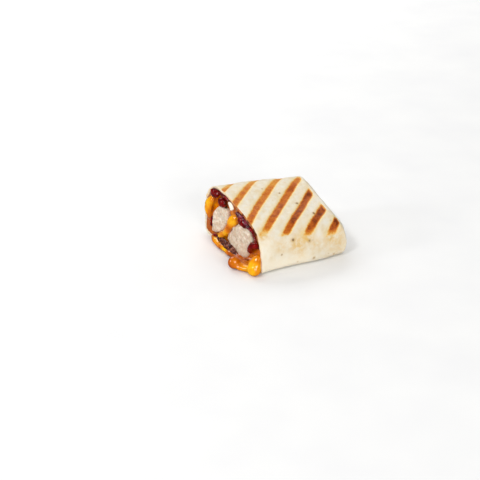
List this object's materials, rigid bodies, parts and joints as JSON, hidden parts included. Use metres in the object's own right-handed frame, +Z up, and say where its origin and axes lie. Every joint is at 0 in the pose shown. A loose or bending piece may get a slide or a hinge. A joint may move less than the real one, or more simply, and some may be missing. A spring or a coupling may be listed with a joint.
{
  "type": "chicken wrap half",
  "caption": "Half of a grilled flour-tortilla wrap, cut across: tucked end, ribbed grill marks, and a face of chicken, cheese sauce, red onion and dark red sauce that runs out over the lip.",
  "frame": {"origin": "middle of the whole on the table that it lies on", "axes": "+X along the roll, from the cut to the tucked end; +Y from the low front side to the tall back side; +Z up"},
  "size_m": [0.0904, 0.0834, 0.0441],
  "materials": {
    "tortilla": "dry floury flatbread with brown grill bars and small toasted specks",
    "chicken": "moist cooked chicken breast, pale and faintly fibrous",
    "cheese": "smooth glossy melted cheese sauce",
    "onion": "wet softened red onion",
    "sauce": "thick glossy dark red sauce"
  },
  "bodies": {
    "root": {"tortilla": "tortilla", "chicken_front": "chicken", "chicken_back": "chicken", "cheese_sauce": "cheese", "onion_top": "onion", "onion_bottom": "onion", "sauce_top": "sauce", "sauce_mid": "sauce", "sauce_back": "sauce", "sauce_front": "sauce"}
  },
  "joints": []
}
